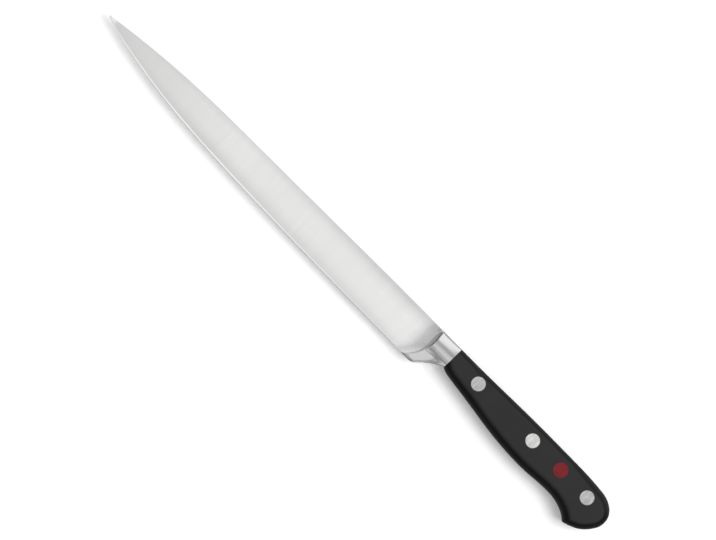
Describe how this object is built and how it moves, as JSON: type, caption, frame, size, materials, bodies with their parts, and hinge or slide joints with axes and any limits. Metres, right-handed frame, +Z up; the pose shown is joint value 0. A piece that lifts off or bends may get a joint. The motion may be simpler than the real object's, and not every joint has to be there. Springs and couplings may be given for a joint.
{
  "type": "fillet knife",
  "caption": "Slim fillet knife with a long narrow forged blade, a bolster with a heel tail, and black scales riveted to a full tang.",
  "frame": {"origin": "middle of the knife's length and depth, on the surface that its right side lies on", "axes": "+X along the blade to the tip, +Y towards the cutting edge, +Z up through the left side"},
  "size_m": [0.3104, 0.0224, 0.014],
  "materials": {
    "blade_steel": "fine satin grind across the blade, polished bolster",
    "scale_plastic": "black, fine matte with a soft sheen",
    "rivet_steel": "ground flush with the scales, faint turning marks",
    "plug_plastic": "dark red, smooth"
  },
  "bodies": {
    "root": {"forged_blade": "blade_steel", "left_scale": "scale_plastic", "right_scale": "scale_plastic", "front_rivet_pin": "rivet_steel", "front_rivet_socket": "rivet_steel", "middle_rivet_pin": "rivet_steel", "middle_rivet_socket": "rivet_steel", "rear_rivet_pin": "rivet_steel", "rear_rivet_socket": "rivet_steel", "colour_plug": "plug_plastic"}
  },
  "joints": []
}
